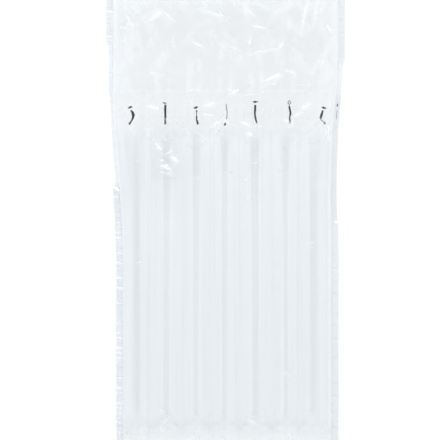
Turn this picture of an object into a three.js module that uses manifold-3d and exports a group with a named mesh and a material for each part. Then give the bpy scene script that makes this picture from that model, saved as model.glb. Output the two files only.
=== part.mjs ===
// Air cushion bottle bag, lying on its back as it comes to rest with nothing in it.
// One web of clear film is folded across the bottom and welded up both sides, so that it makes a pocket.
// Welded seams divide front and back into upright air columns. A comb of thinner valve film lies inside
// the front, with a printed ink bar at the mouth of each column. Above the columns the film goes on, flat
// and limp, as the flap round the mouth.
// X runs across the bag, Y from the bottom fold to the mouth, Z up. All sizes are in millimetres.

import * as THREE from 'three';
import { mergeVertices } from 'three/addons/utils/BufferGeometryUtils.js';
import Module from 'manifold-3d';

// Film
const FILM = 0.6;                 // drawn thickness of one film
const WELD_THICKNESS = 0.8;       // drawn thickness of a crimped side weld

// Columns
const COLUMN_COUNT = 7;
const COLUMN_PITCH = 30;          // flat width of one column, seam to seam
const SEAM_WIDTH = 1.4;           // weld between two columns
const FILL_ANGLE = 0.67;          // half the arc of a filled column's film, in radians
const COLUMN_LENGTH = 284;        // from the bottom band to the valve line
const FOOT_SWELL = 18;            // length in which a column swells out of the bottom band
const NECK_SWELL = 135;           // length in which a column thins towards the valve line

// Bottom, valve band and flap
const BOTTOM_BAND = 16;           // gathered flat film between the fold and the columns
const VALVE_BAND = 24;            // the filling channel above the valve line
const FLAP_LENGTH = 111;          // flat film above the channel
const CHANNEL_HEIGHT = 1.7;       // free height inside the filling channel
const BAND_BLEND = 9;             // length in which the channel closes, above and below
const FOLD_HEIGHT = 8;            // height at which the bottom fold lies
const FOLD_RISE = 34;             // length in which the panels part above the fold

// Pocket and sides
const POCKET_GAP = 6;             // free height between the front and back columns
const FOLD_INSET = 1.5;           // from the bottom fold to the lowest point of the pocket
const MARGIN = 3;                 // plain film between the outer seam and the side weld
const OUTER_DROP = 0.8;           // share of the way down to the side weld that the outer column takes
const SIDE_WELD = 6.5;            // width of the crimped side weld
const WELD_INSET = 1;             // from the side weld to the edge of the pocket
const TURN_ANGLE = 1.4;           // how far the side weld hangs down where it is turned under, in radians
const TURN_LENGTH = 8;            // length in which the weld turns
const LEFT_TURN = [-61, 78];      // the left weld is turned under between these heights over the valve line
const RIGHT_TURN = [-94, 59];     // the same for the right weld

// Lie of the film
const NECK_SPREAD = [-80, 60];    // heights over the valve line between which the bag widens to the flap
const FLAP_STRETCH = 0.98;        // width of the flap, as a share of its flat width
const NECK_LEAN = 3.4;            // how far the neck lies to the left of the columns
const GATHER_HEIGHT = 1.1;        // height of the gathers that the columns leave in the flat film
const GATHER_FADE = 30;           // length in which they fade out up the flap
const FLUTTER_HEIGHT = 0.9;       // height of the loose waves in the flap
const FLUTTER_ACROSS = 74;        // their length across the bag
const FLUTTER_ALONG = 96;         // and along it

// Valve film and ink
const VALVE_FILM = 0.4;           // drawn thickness of the valve film
const TONGUE_WIDTH = 18;          // width of the valve tube in a column
const TONGUE_LENGTH = 45;         // length of the valve tube below the valve line
const INK = 0.4;                  // drawn thickness of the ink
const CLEARANCE = 0.3;            // free play between pieces that lie on each other
const INK_FOOT = 1;               // from the foot of the ink bars up to the valve line
const INK_INSET = 2;              // from the highest ink bar up to the top of the channel

// Fineness of the mesh
const ARC_STEPS = 5;              // facets across one face of a column, an odd number
const BODY_STEPS = 2;             // rows along the evenly filled length
const NECK_STEPS = 5;             // rows along the thinning neck
const FOOT_STEPS = 4;             // rows along the swelling foot
const FLAP_STEPS = 5;             // rows along the flap
const BAND_STEPS = 4;             // rows of the valve film along the channel, and along a tongue

// Sizes that follow
const VALVE_LINE = BOTTOM_BAND + COLUMN_LENGTH;
const BAND_TOP = VALVE_LINE + VALVE_BAND;
const LENGTH = BAND_TOP + FLAP_LENGTH;
const HALF_COUNT = COLUMN_COUNT / 2;
const BAND_THICKNESS = CHANNEL_HEIGHT + 2 * FILM;
const BODY_CHORD = (COLUMN_PITCH - SEAM_WIDTH) * Math.sin(FILL_ANGLE) / FILL_ANGLE + SEAM_WIDTH;
const FLAP_CHORD = COLUMN_PITCH * FLAP_STRETCH;
const FLAT_ANGLE = 0.01;
const INK_LENGTH = VALVE_BAND + INK_FOOT - INK_INSET;

const mix = THREE.MathUtils.lerp;
const clamp01 = (t) => THREE.MathUtils.clamp(t, 0, 1);
const ease = (v, from, to) => THREE.MathUtils.smoothstep(v, from, to);
const TURN = 2 * Math.PI;

const wasm = await Module();
wasm.setup();

// Shape of the lying bag

// 0 where the columns are flat, 1 where they are filled: an elliptical end at the foot and at the neck.
function swell(v) {
  const foot = clamp01((v - BOTTOM_BAND) / FOOT_SWELL);
  const neck = clamp01((v - VALVE_LINE + NECK_SWELL) / NECK_SWELL);
  return Math.sqrt(1 - (1 - foot) ** 2) * Math.sqrt(1 - neck ** 2);
}

// Width of a column from seam to seam as it lies.
function chord(v) {
  return mix(BODY_CHORD, FLAP_CHORD, ease(v - VALVE_LINE, ...NECK_SPREAD));
}

function arcAngle(v) {
  return Math.max(FILL_ANGLE * swell(v), FLAT_ANGLE);
}

function arcRadius(v) {
  return (chord(v) - SEAM_WIDTH) / 2 / Math.sin(arcAngle(v));
}

// Height of a column's crest over its seams. The middle facet is level, so that the bag lies flat on it.
function crest(v) {
  const angle = arcAngle(v);
  return arcRadius(v) * (Math.cos(angle / ARC_STEPS) - Math.cos(angle));
}

// 1 in the filling channel, 0 in the flap and in the columns.
function channel(v) {
  const below = VALVE_LINE - BAND_BLEND;
  return ease(v, below - BAND_BLEND, below) * (1 - ease(v, BAND_TOP, BAND_TOP + BAND_BLEND));
}

function frontHalf(v) {
  return mix(FILM / 2, BAND_THICKNESS / 2, channel(v));
}

const BACK_HALF = FILM / 2;
const BODY_CREST = crest(BOTTOM_BAND + FOOT_SWELL);
const POCKET_FLOOR = 2 * BODY_CREST;
const POCKET_CEILING = POCKET_FLOOR + POCKET_GAP;

// How far the panels have parted above the bottom fold, from 0 to 1.
function parted(v) {
  return 1 - (1 - clamp01(v / FOLD_RISE)) ** 2;
}

// Height of the front panel's seams, in the middle of the bag.
function frontLevel(v) {
  const level = POCKET_CEILING + Math.max(crest(v), frontHalf(v));
  return mix(FOLD_HEIGHT + FILM / 2, level, parted(v));
}

// The back panel's own weight keeps its crests on the surface that the bag lies on.
function backLevel(v) {
  return mix(FOLD_HEIGHT - FILM / 2, Math.max(crest(v), BACK_HALF), parted(v));
}

function columnMiddle(column, v) {
  return (column - (COLUMN_COUNT - 1) / 2) * chord(v);
}

function outerSeam(v) {
  return HALF_COUNT * chord(v);
}

function sideLine(v) {
  return outerSeam(v) + MARGIN;
}

// 0 over the middle columns, rising to 1 at the side welds, where front and back meet.
function sideDrop(x, v) {
  const reach = Math.abs(x);
  const seam = outerSeam(v);
  if (reach <= seam - chord(v)) return 0;
  if (reach <= seam) return OUTER_DROP * (1 - (seam - reach) / chord(v));
  return mix(OUTER_DROP, 1, clamp01((reach - seam) / MARGIN));
}

// Gathers in step with the columns, at the bottom band and just above the channel.
function gather(x, v) {
  const strength = v < FOLD_RISE ? 1 - ease(v, BOTTOM_BAND, FOLD_RISE)
    : ease(v, BAND_TOP, BAND_TOP + BAND_BLEND) * Math.exp((BAND_TOP - v) / GATHER_FADE);
  return GATHER_HEIGHT * strength * Math.cos(TURN * x / chord(v) + Math.PI * (COLUMN_COUNT - 1));
}

// Loose waves of the flap, never below its own level.
function flutter(x, v) {
  const strength = FLUTTER_HEIGHT * ease(v, BAND_TOP, BAND_TOP + FLAP_LENGTH / 2);
  const slanting = Math.sin(TURN * (x / FLUTTER_ACROSS + v / FLUTTER_ALONG));
  const crossing = Math.sin(TURN * (x / FLUTTER_ALONG - v / FLUTTER_ACROSS));
  return strength * (1 + (slanting + crossing) / 2);
}

function panelGap(v) {
  return (frontLevel(v) - backLevel(v) - frontHalf(v) - BACK_HALF) / 2;
}

// Middle surfaces of the two panels.
function frontMiddle(x, v) {
  const drop = sideDrop(x, v);
  const lift = v < FOLD_RISE ? gather(x, v) : Math.max(gather(x, v), 0) + flutter(x, v);
  return frontLevel(v) - drop * panelGap(v) + (1 - drop) * lift;
}

function backMiddle(x, v) {
  const drop = sideDrop(x, v);
  const lift = v < FOLD_RISE ? gather(x, v) : flutter(-x, v);
  return backLevel(v) + drop * panelGap(v) + (1 - drop) * lift;
}

// How far the bag's middle line lies to the right: half the lean at the columns, back past the middle at the
// neck, and none in the flap.
function lean(v) {
  const intoNeck = ease(v, VALVE_LINE - NECK_SWELL, VALVE_LINE);
  const outOfNeck = ease(v - VALVE_LINE, 0, NECK_SPREAD[1]);
  return NECK_LEAN * ((1 - outOfNeck) / 2 - intoNeck * (1 - outOfNeck));
}

// Rows of points across one panel, from the left side weld to the right one
function acrossRow(v) {
  const points = [];
  const angle = arcAngle(v);
  const radius = arcRadius(v);
  for (let column = 0; column < COLUMN_COUNT; column++) {
    const middle = columnMiddle(column, v);
    for (let step = 0; step <= ARC_STEPS; step++) {
      const turn = angle * (2 * step / ARC_STEPS - 1);
      points.push({ x: middle + radius * Math.sin(turn), rise: radius * (Math.cos(turn) - Math.cos(angle)) });
    }
  }
  return points;
}

// The weld's angle below the level, at one side.
function weldTurn(v, [from, to]) {
  const over = v - VALVE_LINE;
  return TURN_ANGLE * ease(over, from, from + TURN_LENGTH) * (1 - ease(over, to - TURN_LENGTH, to));
}

// One cross-section: the outside of the bag as a ring of points, and the pocket as another.
function section(v) {
  const y = v - LENGTH / 2;
  const row = acrossRow(v);
  const side = sideLine(v);
  const inner = side - WELD_INSET;
  const at = (x, z) => new THREE.Vector3(x, y, z);
  const frontAt = (x, rise, way) => at(x, frontMiddle(x, v) + way * Math.max(rise, frontHalf(v)));
  const backAt = (x, rise, way) => at(x, backMiddle(x, v) + way * Math.max(rise, BACK_HALF));
  const weldAt = (hand, turnRange, way) => {
    const angle = weldTurn(v, turnRange);
    const edge = (frontMiddle(side, v) + backMiddle(side, v)) / 2;
    const out = SIDE_WELD * Math.cos(angle) + way * WELD_THICKNESS / 2 * Math.sin(angle);
    const down = SIDE_WELD * Math.sin(angle) - way * WELD_THICKNESS / 2 * Math.cos(angle);
    return at(hand * (side + out), edge - down);
  };
  const pocketEdge = (hand) => {
    const over = frontMiddle(inner, v) - frontHalf(v);
    const under = backMiddle(inner, v) + BACK_HALF;
    return at(hand * inner, (over + under) / 2);
  };
  const top = [frontAt(-side, 0, 1), ...row.map((p) => frontAt(p.x, p.rise, 1)), frontAt(side, 0, 1)];
  const bottom = [backAt(-side, 0, -1), ...row.map((p) => backAt(p.x, p.rise, -1)), backAt(side, 0, -1)];
  return {
    outside: [
      weldAt(-1, LEFT_TURN, 1), ...top, weldAt(1, RIGHT_TURN, 1),
      weldAt(1, RIGHT_TURN, -1), ...bottom.reverse(), weldAt(-1, LEFT_TURN, -1),
    ],
    pocket: [
      pocketEdge(-1), ...row.map((p) => frontAt(p.x, p.rise, -1)), pocketEdge(1),
      ...row.map((p) => backAt(p.x, p.rise, 1)).reverse(),
    ],
  };
}

// Even steps from one height to another, without the last.
function steps(from, to, count) {
  return Array.from({ length: count }, (_, i) => mix(from, to, i / count));
}

// Heights of the cross-sections: close together where the form turns, wide apart where it runs straight.
function stations() {
  const footTop = BOTTOM_BAND + FOOT_SWELL;
  const neckFoot = VALVE_LINE - NECK_SWELL;
  const roundFoot = (t) => BOTTOM_BAND + FOOT_SWELL * t * t;
  const roundNeck = (t) => VALVE_LINE - NECK_SWELL * (1 - t) ** 2;
  const turns = [LEFT_TURN, RIGHT_TURN]
    .flatMap(([from, to]) => [from, from + TURN_LENGTH, to - TURN_LENGTH, to])
    .map((over) => VALVE_LINE + over);
  const heights = [
    0, FOLD_INSET, BOTTOM_BAND / 2,
    ...steps(0, 1, FOOT_STEPS).map(roundFoot),
    ...steps(footTop, neckFoot, BODY_STEPS),
    ...steps(0, 1, NECK_STEPS).map(roundNeck),
    VALVE_LINE, BAND_TOP,
    ...steps(BAND_TOP + BAND_BLEND, LENGTH, FLAP_STEPS),
    LENGTH,
    ...turns,
  ];
  return heights.sort((a, b) => a - b).filter((v, i, all) => i === 0 || v - all[i - 1] > FOLD_INSET / 2);
}

// Meshing

// A list of points and triangles that rings and strips are added to.
class Skin {
  positions = [];
  triangles = [];

  ring(points) {
    const first = this.positions.length / 3;
    points.forEach((p) => this.positions.push(p.x, p.y, p.z));
    return points.map((_, i) => first + i);
  }

  quad(a, b, c, d) {
    this.triangles.push(a, b, c, a, c, d);
  }

  // A band of faces between two closed rings of equal length.
  band(near, far) {
    near.forEach((_, i) => {
      const next = (i + 1) % near.length;
      this.quad(near[i], near[next], far[next], far[i]);
    });
  }

  geometry() {
    const made = new THREE.BufferGeometry();
    made.setAttribute('position', new THREE.Float32BufferAttribute(this.positions, 3));
    made.setIndex(this.triangles);
    return made;
  }
}

// Faces across the end of a flat ring, from its front half to its back half.
function closeRing(skin, ring, flip) {
  const last = ring.length - 1;
  for (let i = 0; i < last - i - 1; i++) {
    const corners = [ring[i], ring[i + 1], ring[last - i - 1], ring[last - i]];
    if (flip) corners.reverse();
    if (corners[1] === corners[2]) skin.triangles.push(corners[0], corners[1], corners[3]);
    else skin.quad(...corners);
  }
}

// The lowest edge of the pocket, where front and back lie on each other.
function closePocket(skin, ring) {
  const half = ring.length / 2;
  for (let i = 0; i < half; i++) {
    const near = ring[i];
    const next = ring[i + 1];
    const below = ring[(ring.length - i) % ring.length];
    const belowNext = ring[ring.length - i - 1];
    if (near === below) skin.triangles.push(near, next, belowNext);
    else if (next === belowNext) skin.triangles.push(near, next, below);
    else skin.quad(near, next, belowNext, below);
  }
}

// Faces across the mouth's rim, between the outside ring and the pocket ring.
function closeMouth(skin, outside, pocket) {
  const half = outside.length / 2;
  const rowLength = half - 4;
  const frontOut = outside.slice(2, 2 + rowLength);
  const backOut = outside.slice(half + 2, half + 2 + rowLength).reverse();
  const frontIn = pocket.slice(1, 1 + rowLength);
  const backIn = pocket.slice(rowLength + 2).reverse();
  const strip = (a, b) => {
    for (let i = 0; i < rowLength - 1; i++) skin.quad(a[i], a[i + 1], b[i + 1], b[i]);
  };
  strip(frontOut, frontIn);
  strip(backIn, backOut);
  const corner = (tipTop, sideTop, tipBottom, sideBottom, edge, seams, flip) => {
    const fan = [tipTop, sideTop, seams[0], seams[1], edge, seams[2], seams[3], sideBottom, tipBottom];
    const faces = [
      [fan[1], fan[2], fan[3]], [fan[1], fan[3], fan[4]],
      [fan[4], fan[5], fan[6]], [fan[4], fan[6], fan[7]],
      [fan[1], fan[4], fan[7]], [fan[0], fan[1], fan[7]], [fan[0], fan[7], fan[8]],
    ];
    faces.forEach((face) => skin.triangles.push(...(flip ? face.reverse() : face)));
  };
  corner(outside[0], outside[1], outside.at(-1), outside.at(-2), pocket[0],
    [frontOut[0], frontIn[0], backIn[0], backOut[0]], false);
  corner(outside[half - 1], outside[half - 2], outside[half], outside[half + 1], pocket[rowLength + 1],
    [frontOut.at(-1), frontIn.at(-1), backIn.at(-1), backOut.at(-1)], true);
}

// The whole bag as one skin: outside, bottom fold, pocket and mouth.
function bagGeometry() {
  const skin = new Skin();
  const sections = stations().map((v) => ({ v, ...section(v) }));
  const outside = sections.map((s) => skin.ring(s.outside));
  const pocket = sections.filter((s) => s.v >= FOLD_INSET).map((s) => skin.ring(s.pocket));
  for (let i = 1; i < outside.length; i++) skin.band(outside[i - 1], outside[i]);
  for (let i = 1; i < pocket.length; i++) skin.band(pocket[i], pocket[i - 1]);
  closeRing(skin, outside[0], true);
  closePocket(skin, pocket[0]);
  closeMouth(skin, outside.at(-1), pocket.at(-1));
  return skin.geometry();
}

// A flat shape laid on the front panel's middle surface, at a height over it.
function laidOnFront(geometry, height) {
  const places = geometry.getAttribute('position');
  for (let i = 0; i < places.count; i++) {
    const middle = frontMiddle(places.getX(i), places.getY(i));
    places.setXYZ(i, places.getX(i), places.getY(i) - LENGTH / 2, middle + height + places.getZ(i));
  }
  return geometry;
}

// A thin plate laid on the front panel. Its rows of points stand at the heights in along, and across holds
// the lines that its points follow from row to row.
function laidPlate(across, along, thickness, height) {
  const columns = across.length - 1;
  const rows = along.length - 1;
  const plate = new THREE.BoxGeometry(columns, rows, thickness, columns, rows, 1);
  plate.translate(columns / 2, rows / 2, 0);
  const places = plate.getAttribute('position');
  for (let i = 0; i < places.count; i++) {
    const v = along[Math.round(places.getY(i))];
    places.setXYZ(i, across[Math.round(places.getX(i))](v), v, places.getZ(i));
  }
  return laidOnFront(plate, height);
}

// Everything above is drawn straight. This lays it with the bag's own lean.
function leaned(geometry) {
  const places = geometry.getAttribute('position');
  for (let i = 0; i < places.count; i++) {
    places.setX(i, places.getX(i) + lean(places.getY(i) + LENGTH / 2));
  }
  return geometry;
}

// Solids

function solid(geometry) {
  const bare = geometry.clone();
  bare.deleteAttribute('normal');
  bare.deleteAttribute('uv');
  const merged = mergeVertices(bare, 1e-4);
  return new wasm.Manifold(new wasm.Mesh({
    numProp: 3,
    vertProperties: merged.getAttribute('position').array,
    triVerts: new Uint32Array(merged.index.array),
  }));
}

function geometryOf(body) {
  const mesh = body.getMesh();
  const made = new THREE.BufferGeometry();
  made.setAttribute('position', new THREE.BufferAttribute(mesh.vertProperties, 3));
  made.setIndex(new THREE.BufferAttribute(mesh.triVerts, 1));
  return made;
}

// The comb of valve film: a strip along the channel and a tongue down into each column. The channel is the
// same comb, grown by the clearance, and runs out through both sides of the bag.
function comb(grow, ends, thickness, height) {
  const foot = VALVE_LINE - BAND_BLEND / 2;
  const half = [...ends, outerSeam, (v) => outerSeam(v) - chord(v)];
  const otherHalf = half.map((line) => (v) => -line(v));
  const stripRows = steps(foot, BAND_TOP - CLEARANCE, BAND_STEPS).slice(1);
  const tongueRows = steps(VALVE_LINE - TONGUE_LENGTH, foot, BAND_STEPS).slice(1);
  const strip = laidPlate([...otherHalf, ...half.reverse()],
    [foot - grow, ...stripRows, BAND_TOP - CLEARANCE + grow], thickness, height);
  const tongues = Array.from({ length: COLUMN_COUNT }, (_, column) => {
    const reach = TONGUE_WIDTH / 2 + grow;
    const edges = [-reach, reach].map((out) => (v) => columnMiddle(column, v) + out);
    return laidPlate(edges, [VALVE_LINE - TONGUE_LENGTH - grow, ...tongueRows, foot, foot + FOLD_INSET],
      thickness, height);
  });
  return tongues.reduce((whole, tongue) => whole.add(solid(tongue)), solid(strip));
}

const channelEnds = [(v) => sideLine(v) + 2 * SIDE_WELD, sideLine];
const bag = solid(bagGeometry()).subtract(comb(CLEARANCE, channelEnds, CHANNEL_HEIGHT, 0));
const valveLevel = CLEARANCE + (VALVE_FILM - CHANNEL_HEIGHT) / 2;
const valveFilm = comb(0, [], VALVE_FILM, valveLevel);

// Ink bars

// How each bar lies in the creased film: its shift from the column's middle, how far short it ends, its cap's
// width, depth and tilt, the bow, kink and slant of its rod, and the rod's width at the top, waist and foot.
const BARS = [
  { shift: 0.6, short: 4, cap: [5.4, 3.0, 0.35], bow: 2.6, kink: -0.9, slant: -1.6, widths: [2.6, 3.6, 3.0] },
  { shift: 3.2, short: 1, cap: [3.6, 2.2, -0.3], bow: 0.0, kink: 0.0, slant: 0.4, widths: [3.4, 3.4, 3.0] },
  { shift: 4.0, short: 5, cap: [5.0, 3.2, 0.2], bow: -0.5, kink: 0.3, slant: 1.2, widths: [2.6, 1.5, 3.2] },
  { shift: 3.3, short: 2, cap: [2.0, 2.6, 0.0], bow: 0.3, kink: 0.5, slant: -1.4, widths: [1.7, 1.5, 2.9] },
  { shift: 0.4, short: 0, cap: [5.8, 3.4, 0.0], bow: -0.6, kink: -0.3, slant: 1.1, widths: [3.0, 3.2, 2.8] },
  { shift: 3.4, short: 0, cap: [4.2, 4.6, 0.0], bow: 0.6, kink: 0.3, slant: 0.3, widths: [2.4, 3.6, 3.0] },
  { shift: 4.6, short: 5, cap: [5.2, 2.8, -0.2], bow: -2.0, kink: 1.4, slant: 0.6, widths: [3.0, 3.6, 2.6] },
];
const TURNED_BAR = { short: 0, cap: [3.4, 2.4, 0], bow: 0.4, kink: 0, slant: 0, widths: [1.8, 2.2, 1.8] };
const CAP_OVERLAP = 0.6;
const ROD_STEPS = 8;

// Outline of one bar: a round-ended rod that follows its crease, with a flat diamond cap over it.
function barOutline({ cap, bow, kink, slant, widths }, length) {
  const [capWidth, capDepth, tilt] = cap;
  const rodLength = length - capDepth + CAP_OVERLAP;
  const middle = (t) => slant * (t - 1) + bow * Math.sin(Math.PI * t) + kink * Math.sin(TURN * t);
  const half = (t) => (t < 0.5 ? mix(widths[2], widths[1], 2 * t) : mix(widths[1], widths[0], 2 * t - 1)) / 2;
  const sideOf = (hand) => Array.from({ length: ROD_STEPS + 1 }, (_, i) => {
    const t = i / ROD_STEPS;
    const pinch = i === 0 ? 0.6 : 1;
    return new THREE.Vector2(middle(t) + hand * half(t) * pinch, rodLength * t);
  });
  const rod = new THREE.Shape([...sideOf(1), ...sideOf(-1).reverse()]);
  const ends = [[1, 0], [0.3, 0.5], [-0.3, 0.5], [-1, 0], [-0.3, -0.5], [0.3, -0.5]];
  const capMiddle = new THREE.Vector2(0, length - capDepth / 2);
  const capPoints = ends.map(([a, b]) => new THREE.Vector2(a * capWidth / 2, b * capDepth)
    .rotateAround(new THREE.Vector2(), tilt).add(capMiddle));
  return [rod, new THREE.Shape(capPoints)];
}

function barSolid(bar, lay) {
  const length = INK_LENGTH - bar.short;
  return barOutline(bar, length)
    .map((shape) => new THREE.ExtrudeGeometry(shape, { depth: INK, bevelEnabled: false }))
    .map((flat) => solid(lay(flat)))
    .reduce((whole, next) => whole.add(next));
}

// A bar in the channel lies on the valve film.
function barOnFilm(bar, column) {
  const foot = VALVE_LINE - INK_FOOT;
  const middle = columnMiddle(column, VALVE_LINE + VALVE_BAND / 2);
  const over = valveLevel + VALVE_FILM / 2 + CLEARANCE;
  return barSolid(bar, (flat) => laidOnFront(flat.translate(middle + bar.shift, foot, 0), over));
}

// The last bar of the print falls on the right side weld, outside it where the weld is turned down.
function barOnWeld(bar) {
  return barSolid(bar, (flat) => {
    const places = flat.getAttribute('position');
    for (let i = 0; i < places.count; i++) {
      const v = VALVE_LINE - INK_FOOT + places.getY(i);
      const side = sideLine(v);
      const edge = (frontMiddle(side, v) + backMiddle(side, v)) / 2;
      const out = SIDE_WELD * Math.cos(TURN_ANGLE) + WELD_THICKNESS + CLEARANCE + places.getZ(i);
      places.setXYZ(i, side + out, v - LENGTH / 2, edge - SIDE_WELD / 2 - places.getX(i));
    }
    return flat;
  });
}

// Assembly

const film = new THREE.MeshStandardMaterial({
  color: 0xe6eff4, roughness: 0.12, metalness: 0, transparent: true, opacity: 0.35, side: THREE.DoubleSide,
});
const valve = new THREE.MeshStandardMaterial({
  color: 0xdfe8ee, roughness: 0.25, metalness: 0, transparent: true, opacity: 0.5,
});
const ink = new THREE.MeshStandardMaterial({ color: 0x2e3335, roughness: 0.55, metalness: 0 });

function piece(name, body, material) {
  const mesh = new THREE.Mesh(leaned(geometryOf(body)), material);
  mesh.geometry.computeVertexNormals();
  mesh.name = name;
  return mesh;
}

const object = new THREE.Group();
object.name = 'air_cushion_bottle_bag';
object.add(piece('column_bag', bag, film));
object.add(piece('valve_film', valveFilm, valve));
for (let column = 0; column < COLUMN_COUNT; column++) {
  const bar = BARS[column % BARS.length];
  object.add(piece(`ink_bar_${column + 1}`, barOnFilm(bar, column), ink));
}
object.add(piece(`ink_bar_${COLUMN_COUNT + 1}`, barOnWeld(TURNED_BAR), ink));

export default object;
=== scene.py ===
import math

import bpy
import numpy as np
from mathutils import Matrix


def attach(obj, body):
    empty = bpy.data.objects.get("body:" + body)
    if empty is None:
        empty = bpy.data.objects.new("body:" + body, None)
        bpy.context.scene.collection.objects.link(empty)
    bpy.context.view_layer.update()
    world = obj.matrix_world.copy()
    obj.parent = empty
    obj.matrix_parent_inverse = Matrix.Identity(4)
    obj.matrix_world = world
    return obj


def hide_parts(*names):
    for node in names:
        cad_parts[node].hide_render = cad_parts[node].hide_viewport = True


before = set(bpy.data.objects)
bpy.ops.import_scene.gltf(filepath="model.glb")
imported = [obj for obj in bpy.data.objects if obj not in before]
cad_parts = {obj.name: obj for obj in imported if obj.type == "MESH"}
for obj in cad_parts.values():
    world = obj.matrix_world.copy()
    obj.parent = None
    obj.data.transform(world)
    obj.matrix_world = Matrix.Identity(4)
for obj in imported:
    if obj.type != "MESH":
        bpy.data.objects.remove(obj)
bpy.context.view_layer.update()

# Camera
# The empty bag is seen from straight above through a long lens, mouth upwards. The top of the flap and the
# bottom fold lie just outside the picture.
PICTURE_WIDTH = 0.4125
PICTURE_MIDDLE = (-0.0052, -0.0066, 0.012)
LENS = 120
SENSOR = 36

overhead = bpy.data.cameras.new("overhead_camera")
overhead.lens = LENS
overhead.sensor_width = SENSOR
camera = bpy.data.objects.new("overhead_camera", overhead)
middle_x, middle_y, middle_z = PICTURE_MIDDLE
camera.location = (middle_x, middle_y, middle_z + PICTURE_WIDTH * LENS / SENSOR)
bpy.context.scene.collection.objects.link(camera)
bpy.context.scene.camera = camera
bpy.context.scene.view_settings.view_transform = "Standard"
# Light crosses many layers of film on its way down to the table and back.
bpy.context.scene.cycles.transparent_max_bounces = 32
bpy.context.scene.cycles.max_bounces = 4
bpy.context.scene.cycles.diffuse_bounces = 1
bpy.context.scene.cycles.glossy_bounces = 3

# White table
# A seamless sheet of matt white card, much larger than the bag, that the bag lies on. It lies just under
# the lowest creases of the film, so that it cuts through none.
TABLE_SIZE = 6.0
TABLE_DROP = 0.0006
TABLE_WHITE = 0.99

table_mesh = bpy.data.meshes.new("white_table")
corners = [(-1, -1), (1, -1), (1, 1), (-1, 1)]
table_mesh.from_pydata(
    [(x * TABLE_SIZE / 2, y * TABLE_SIZE / 2, -TABLE_DROP) for x, y in corners], [], [(0, 1, 2, 3)],
)
table = bpy.data.objects.new("white_table", table_mesh)
bpy.context.scene.collection.objects.link(table)
card = bpy.data.materials.new("white_card")
card.use_nodes = True
card_shader = card.node_tree.nodes["Principled BSDF"]
card_shader.inputs["Base Color"].default_value = (TABLE_WHITE, TABLE_WHITE, TABLE_WHITE, 1)
card_shader.inputs["Roughness"].default_value = 0.9
card_shader.inputs["Specular IOR Level"].default_value = 0.0
table_mesh.materials.append(card)

# Studio light
# A white tent lights the bag evenly from all round. It is darker at its foot, and has a dark opening for
# the camera overhead. Small softboxes at its shoulder, slanting to the columns, pick out the film's creases.
TENT_BRIGHTNESS = 1.01
OPENING_BRIGHTNESS = 0.44
OPENING_ACROSS = 0.30
OPENING_ALONG = 0.50
OPENING_EDGE = (0.40, 1.0)
FOOT_BRIGHTNESS = 0.6
FOOT_EDGE = (0.05, 0.50)
SOFTBOX_SIZE = (0.65, 0.36)
SOFTBOX_POWER = 5.0
SOFTBOXES = [(1.44, 1.08, 1.12), (0.49, 1.73, 1.12), (-0.67, 1.67, 1.12), (-1.57, 0.88, 1.12)]


def add_node(tree, kind, *inputs, **named):
    """Adds a node. Its inputs are given in their order, or by their names with a capital, each as a value or
    as the socket that feeds it. Names in small letters are the node's own settings."""
    node = tree.nodes.new(kind)
    for name, value in named.items():
        if name[0].islower():
            setattr(node, name, value)
    sockets = [node.inputs[name.replace("_", " ")] for name in named if name[0].isupper()]
    values = [value for name, value in named.items() if name[0].isupper()]
    for socket, value in [*zip(node.inputs, inputs), *zip(sockets, values)]:
        if isinstance(value, bpy.types.NodeSocket):
            tree.links.new(value, socket)
        else:
            socket.default_value = value
    return node


def math_node(tree, operation, *values):
    return add_node(tree, "ShaderNodeMath", *values, operation=operation).outputs["Value"]


tent = bpy.data.worlds.new("white_tent")
bpy.context.scene.world = tent
tent.use_nodes = True
tree = tent.node_tree
direction = add_node(tree, "ShaderNodeTexCoord").outputs["Generated"]
overhead_only = add_node(tree, "ShaderNodeVectorMath", direction, (1 / OPENING_ACROSS, 1 / OPENING_ALONG, 0),
                         operation="MULTIPLY")
from_overhead = add_node(tree, "ShaderNodeVectorMath", overhead_only.outputs["Vector"], operation="LENGTH")
opening = add_node(tree, "ShaderNodeMapRange", from_overhead.outputs["Value"], *OPENING_EDGE,
                   OPENING_BRIGHTNESS, TENT_BRIGHTNESS, interpolation_type="SMOOTHSTEP")
height = add_node(tree, "ShaderNodeSeparateXYZ", direction)
foot = add_node(tree, "ShaderNodeMapRange", height.outputs["Z"], *FOOT_EDGE, FOOT_BRIGHTNESS,
                interpolation_type="SMOOTHSTEP")
background = tree.nodes["Background"]
background.inputs["Color"].default_value = (1, 1, 1, 1)
tree.links.new(math_node(tree, "MULTIPLY", opening.outputs["Result"], foot.outputs["Result"]),
               background.inputs["Strength"])

for index, place in enumerate(SOFTBOXES):
    lamp = bpy.data.lights.new(f"softbox_{index + 1}", "AREA")
    lamp.shape = "RECTANGLE"
    lamp.size, lamp.size_y = SOFTBOX_SIZE
    lamp.energy = SOFTBOX_POWER
    softbox = bpy.data.objects.new(lamp.name, lamp)
    softbox.location = place
    softbox.rotation_mode = "QUATERNION"
    softbox.rotation_quaternion = softbox.location.to_track_quat("Z", "Y")
    bpy.context.scene.collection.objects.link(softbox)

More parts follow.
